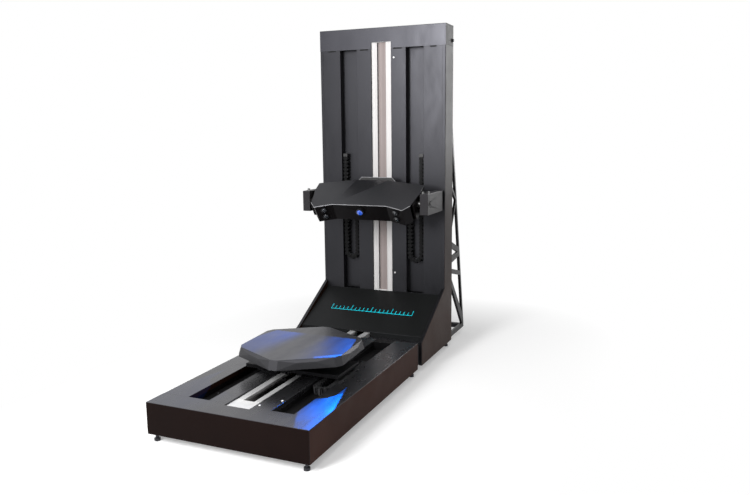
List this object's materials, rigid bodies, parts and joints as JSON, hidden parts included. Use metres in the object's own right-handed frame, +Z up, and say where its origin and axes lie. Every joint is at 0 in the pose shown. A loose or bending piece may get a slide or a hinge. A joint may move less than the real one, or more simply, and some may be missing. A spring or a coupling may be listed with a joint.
{
  "type": "three-d scanner",
  "caption": "Scanning station: a linear base with a hexagonal turntable, and a column that lifts and tilts a projector and camera head on a yoke.",
  "frame": {"origin": "on the floor, at the middle of the overall box in X and Y", "axes": "+Z up, +X the right-hand side seen from the front, +Y to the back where the column stands; the front faces -Y"},
  "size_m": [0.52, 1.412, 1.25],
  "materials": {
    "housing_black": "satin",
    "panel_black": "satin",
    "tray_black": "matte",
    "side_grey": "satin",
    "frame_paint": "satin",
    "truss_aluminium": "brushed",
    "axis_aluminium": "anodised",
    "band_steel": "brushed",
    "ground_steel": "polished",
    "machined_dark": "black anodised",
    "motor_black": "matte",
    "chain_plastic": "matte",
    "platform_grey": "fine texture",
    "head_grey": "satin",
    "head_black": "satin",
    "lens_black": "matte",
    "lens_glass": "coated",
    "nut_bronze": "machined",
    "belt_rubber": "matte",
    "foot_zinc": "zinc plated"
  },
  "bodies": {
    "frame": {"base_front_cover": "housing_black", "base_side_cover_left": "housing_black", "base_side_cover_right": "housing_black", "base_centre_covers": "panel_black", "base_slot_trays": "tray_black", "base_floor_pan": "tray_black", "bridge_deck": "panel_black", "column_side_left": "side_grey", "column_side_right": "side_grey", "column_cap": "housing_black", "column_centre_covers": "panel_black", "column_front_covers": "panel_black", "column_slot_trays": "tray_black", "column_back_panel": "panel_black", "column_fascia": "housing_black", "truss_left": "truss_aluminium", "truss_right": "truss_aluminium", "frame_tubes": "frame_paint", "cross_members": "frame_paint", "levelling_feet": "foot_zinc", "base_axis_profile": "axis_aluminium", "column_axis_profile": "axis_aluminium", "axis_bands": "band_steel", "axis_end_blocks": "machined_dark", "axis_motors": "motor_black", "base_chain_fixed": "chain_plastic", "lift_chain_fixed": "chain_plastic", "chain_anchors": "machined_dark"},
    "base_carriage": {"base_saddle": "machined_dark", "base_nut": "nut_bronze", "stage_housing": "machined_dark", "turntable_motor": "motor_black", "base_chain_moving": "chain_plastic", "drive_belt": "belt_rubber"},
    "turntable": {"platform_cover": "platform_grey", "platform_plate": "machined_dark", "platform_hub": "machined_dark"},
    "motor_pulley": {"motor_pulley": "machined_dark"},
    "base_screw": {"base_screw": "ground_steel"},
    "lift_screw": {"lift_screw": "ground_steel"},
    "lift_carriage": {"lift_saddle": "machined_dark", "lift_nut": "nut_bronze", "yoke_beam": "machined_dark", "lift_bracket": "machined_dark", "yoke_arm_left": "machined_dark", "yoke_arm_right": "machined_dark", "lift_chain_moving": "chain_plastic"},
    "head": {"head_cover": "head_grey", "head_bezel": "head_black", "head_base": "head_black", "head_side_plates": "head_black", "tilt_pins": "ground_steel", "projector_body": "head_black", "projector_lens": "lens_black", "camera_bodies": "head_black", "camera_lenses": "lens_black", "lens_glasses": "lens_glass"},
    "base_chain_bend": {"base_chain_bend": "chain_plastic"},
    "lift_chain_bends": {"lift_chain_bends": "chain_plastic"}
  },
  "joints": [
    {"name": "base_slide", "type": "slide", "parent": "frame", "child": "base_carriage", "axis": [0, 1, 0], "range_m": [-0.19, 0.2], "deforming": ["base_chain_fixed", "base_chain_moving"]},
    {"name": "table_turn", "type": "hinge", "parent": "base_carriage", "child": "turntable", "pos_m": [0, -0.269, 0.15], "axis": [0, 0, 1], "continuous": true},
    {"name": "pulley_turn", "type": "hinge", "parent": "base_carriage", "child": "motor_pulley", "pos_m": [-0.1375, -0.269, 0.14], "axis": [0, 0, 1], "continuous": true},
    {"name": "base_screw_turn", "type": "hinge", "parent": "frame", "child": "base_screw", "pos_m": [0, 0, 0.092], "axis": [0, 1, 0], "continuous": true},
    {"name": "lift_slide", "type": "slide", "parent": "frame", "child": "lift_carriage", "axis": [0, 0, 1], "range_m": [-0.19, 0.45], "deforming": ["lift_chain_fixed", "lift_chain_moving"]},
    {"name": "lift_screw_turn", "type": "hinge", "parent": "frame", "child": "lift_screw", "pos_m": [0, 0.428, 0.7], "axis": [0, 0, 1], "continuous": true},
    {"name": "head_tilt", "type": "hinge", "parent": "lift_carriage", "child": "head", "pos_m": [0, 0.244, 0.597], "axis": [1, 0, 0], "range_deg": [-30, 25]},
    {"name": "base_bend_slide", "type": "slide", "parent": "frame", "child": "base_chain_bend", "axis": [0, 1, 0], "range_m": [-0.095, 0.1]},
    {"name": "lift_bend_slide", "type": "slide", "parent": "frame", "child": "lift_chain_bends", "axis": [0, 0, 1], "range_m": [-0.095, 0.225]}
  ],
  "couplings": [
    {"joint": "pulley_turn", "follows": "table_turn", "ratio": 5},
    {"joint": "base_screw_turn", "follows": "base_slide", "rad_per_m": -314.16},
    {"joint": "base_bend_slide", "follows": "base_slide", "ratio": 0.5},
    {"joint": "lift_screw_turn", "follows": "lift_slide", "rad_per_m": -314.16},
    {"joint": "lift_bend_slide", "follows": "lift_slide", "ratio": 0.5}
  ]
}
